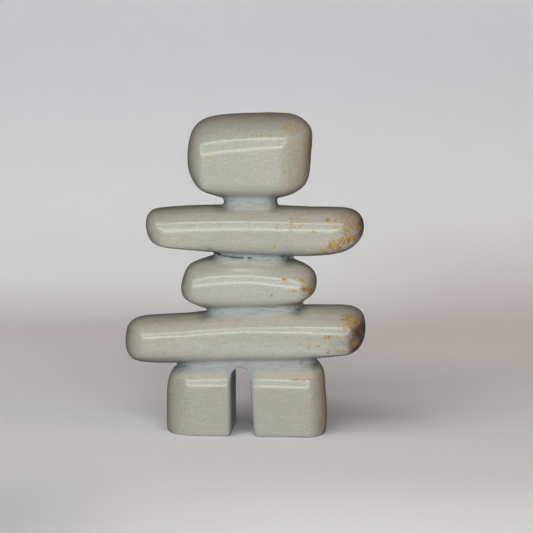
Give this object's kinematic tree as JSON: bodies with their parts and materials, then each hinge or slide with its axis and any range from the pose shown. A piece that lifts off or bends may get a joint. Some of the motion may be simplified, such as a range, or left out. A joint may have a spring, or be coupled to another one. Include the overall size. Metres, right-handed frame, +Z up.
{
  "type": "inukshuk",
  "caption": "Small free-standing soapstone carving of stacked rounded stones: head, outstretched arms, belly, hip slab and legs with a sawn slot between them.",
  "frame": {"origin": "on the ground under the middle of the figure's box", "axes": "+Z up through the head, the front faces -Y, +X along the arms to the end with the rust-brown specks"},
  "size_m": [0.0972, 0.028, 0.129],
  "materials": {
    "soapstone": "hand-sanded and waxed, satin, pale grey-green with rust-brown specks"
  },
  "bodies": {
    "root": {"inukshuk": "soapstone"}
  },
  "joints": []
}
